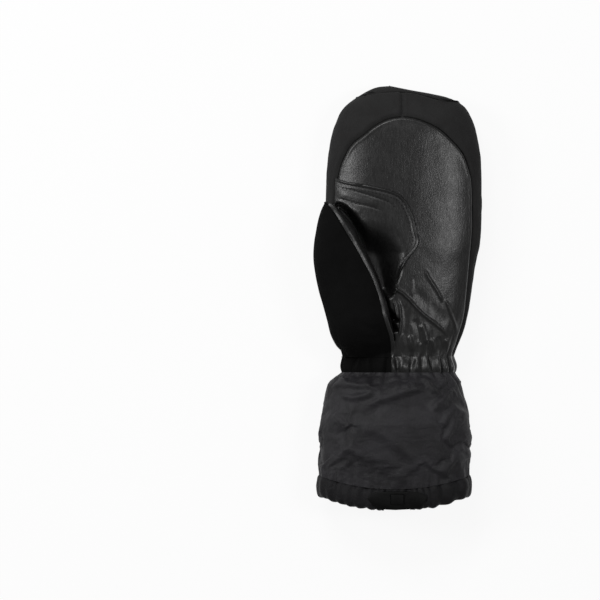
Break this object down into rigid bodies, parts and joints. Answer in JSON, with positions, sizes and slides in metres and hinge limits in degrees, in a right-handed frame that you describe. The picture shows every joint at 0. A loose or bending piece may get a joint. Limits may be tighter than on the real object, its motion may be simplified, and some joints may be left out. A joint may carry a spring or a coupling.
{
  "type": "ski mitten",
  "caption": "Padded ski mitten with a leather palm, a folded-over thumb, a gathered elastic wrist and a long gauntlet with a drawcord hem.",
  "frame": {"origin": "on the flat of the back of the hand, which the mitten lies on, under the middle of the palm", "axes": "+X across the hand towards the little finger, +Y towards the fingertips, +Z out of the palm; the mitten lies on its back"},
  "size_m": [0.1488, 0.3715, 0.0677],
  "materials": {
    "palm_hide": "black pebbled goat leather with a soft sheen",
    "patch_hide": "smooth black leather",
    "softshell": "matte black stretch shell cloth",
    "thumb_cloth": "deep matte black brushed cloth",
    "gauntlet_nylon": "black woven nylon with a faint sheen",
    "padding": "white polyester wadding",
    "fleece": "black fleece pile",
    "insert_film": "thin grey waterproof film",
    "elastic": "black braided elastic",
    "moulded_plastic": "black moulded nylon plastic",
    "spring_wire": "bright spring wire"
  },
  "bodies": {
    "hand": {"palm_leather": "palm_hide", "thumb_side_gusset": "softshell", "little_finger_side_gusset": "softshell", "palm_patch": "patch_hide", "back_shell": "softshell", "waterproof_insert": "insert_film", "palm_insulation": "padding", "back_insulation": "padding", "palm_lining": "fleece", "back_lining": "fleece", "wrist_gather_palm": "palm_hide", "wrist_gather_back": "softshell", "wrist_elastic": "elastic", "wrist_lining": "fleece"},
    "thumb": {"thumb_back_cloth": "thumb_cloth", "thumb_front_leather": "patch_hide", "thumb_waterproof_insert": "insert_film", "thumb_insulation": "padding", "thumb_lining": "fleece"},
    "gauntlet": {"gauntlet_palm_shell": "gauntlet_nylon", "gauntlet_back_shell": "gauntlet_nylon", "gauntlet_insulation": "padding", "gauntlet_lining": "gauntlet_nylon", "hem_band": "gauntlet_nylon", "hem_drawcord": "elastic", "lock_housing": "moulded_plastic", "lock_backplate": "moulded_plastic", "lock_spring": "spring_wire"},
    "button": {"lock_button": "moulded_plastic"}
  },
  "joints": [
    {"name": "thumb_swing", "type": "hinge", "parent": "hand", "child": "thumb", "pos_m": [-0.0385, -0.08101, 0], "axis": [0, 0, 1], "range_deg": [-5, 30]},
    {"name": "wrist_bend", "type": "hinge", "parent": "hand", "child": "gauntlet", "pos_m": [0, -0.118, 0.022], "axis": [1, 0, 0], "range_deg": [-25, 25], "deforming": ["wrist_gather_palm", "wrist_gather_back", "wrist_elastic", "wrist_lining"]},
    {"name": "lock_press", "type": "slide", "parent": "gauntlet", "child": "button", "axis": [0, 0, -1], "range_m": [0, 0.0015], "stiffness_N_per_m": 600, "springref_m": -0.002, "deforming": ["lock_spring"]}
  ]
}
